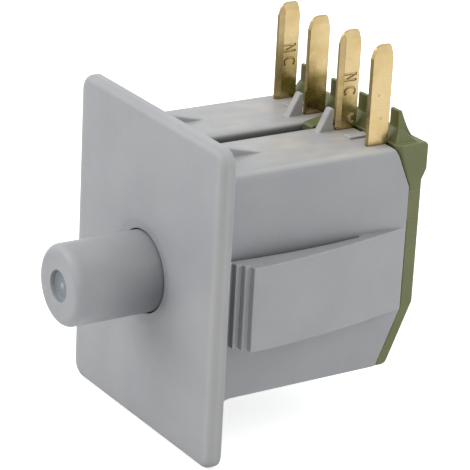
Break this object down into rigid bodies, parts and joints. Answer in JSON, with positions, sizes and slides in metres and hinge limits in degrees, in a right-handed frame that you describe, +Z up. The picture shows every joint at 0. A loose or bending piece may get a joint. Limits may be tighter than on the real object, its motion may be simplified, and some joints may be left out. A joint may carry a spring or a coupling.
{
  "type": "four pole switch",
  "caption": "Panel-mounted push-plunger interlock switch: grey snap-in housing with a square bezel plate, dark olive finned rear cover and upright blade terminals.",
  "frame": {"origin": "centre of the bezel plate's rear face, where it lies on the panel", "axes": "+X to the right seen from the front, +Y back into the panel along the plunger's stroke, +Z up along the blade terminals"},
  "size_m": [0.0314, 0.0418, 0.0457],
  "materials": {
    "grey_nylon": "fine moulded texture",
    "olive_nylon": "fine moulded texture",
    "terminal_brass": "stamped, slightly dulled",
    "bridge_copper": "stamped copper alloy",
    "contact_silver": "silver alloy, satin",
    "spring_steel": "drawn wire"
  },
  "bodies": {
    "switch_body": {"housing": "grey_nylon", "rear_cover": "olive_nylon", "return_spring": "spring_steel", "terminal_1": "terminal_brass", "terminal_2": "terminal_brass", "terminal_3": "terminal_brass", "terminal_4": "terminal_brass", "fixed_contact_1": "contact_silver", "fixed_contact_2": "contact_silver", "fixed_contact_3": "contact_silver", "fixed_contact_4": "contact_silver"},
    "plunger_body": {"plunger": "grey_nylon", "contact_bridge_1": "bridge_copper", "contact_bridge_2": "bridge_copper", "contact_spring_1": "spring_steel", "contact_spring_2": "spring_steel", "moving_contact_1": "contact_silver", "moving_contact_2": "contact_silver", "moving_contact_3": "contact_silver", "moving_contact_4": "contact_silver"}
  },
  "joints": [
    {"name": "plunger_slide", "type": "slide", "parent": "switch_body", "child": "plunger_body", "axis": [0, 1, 0], "range_m": [0, 0.008], "stiffness_N_per_m": 600, "springref_m": -0.0025, "deforming": ["return_spring"]}
  ]
}
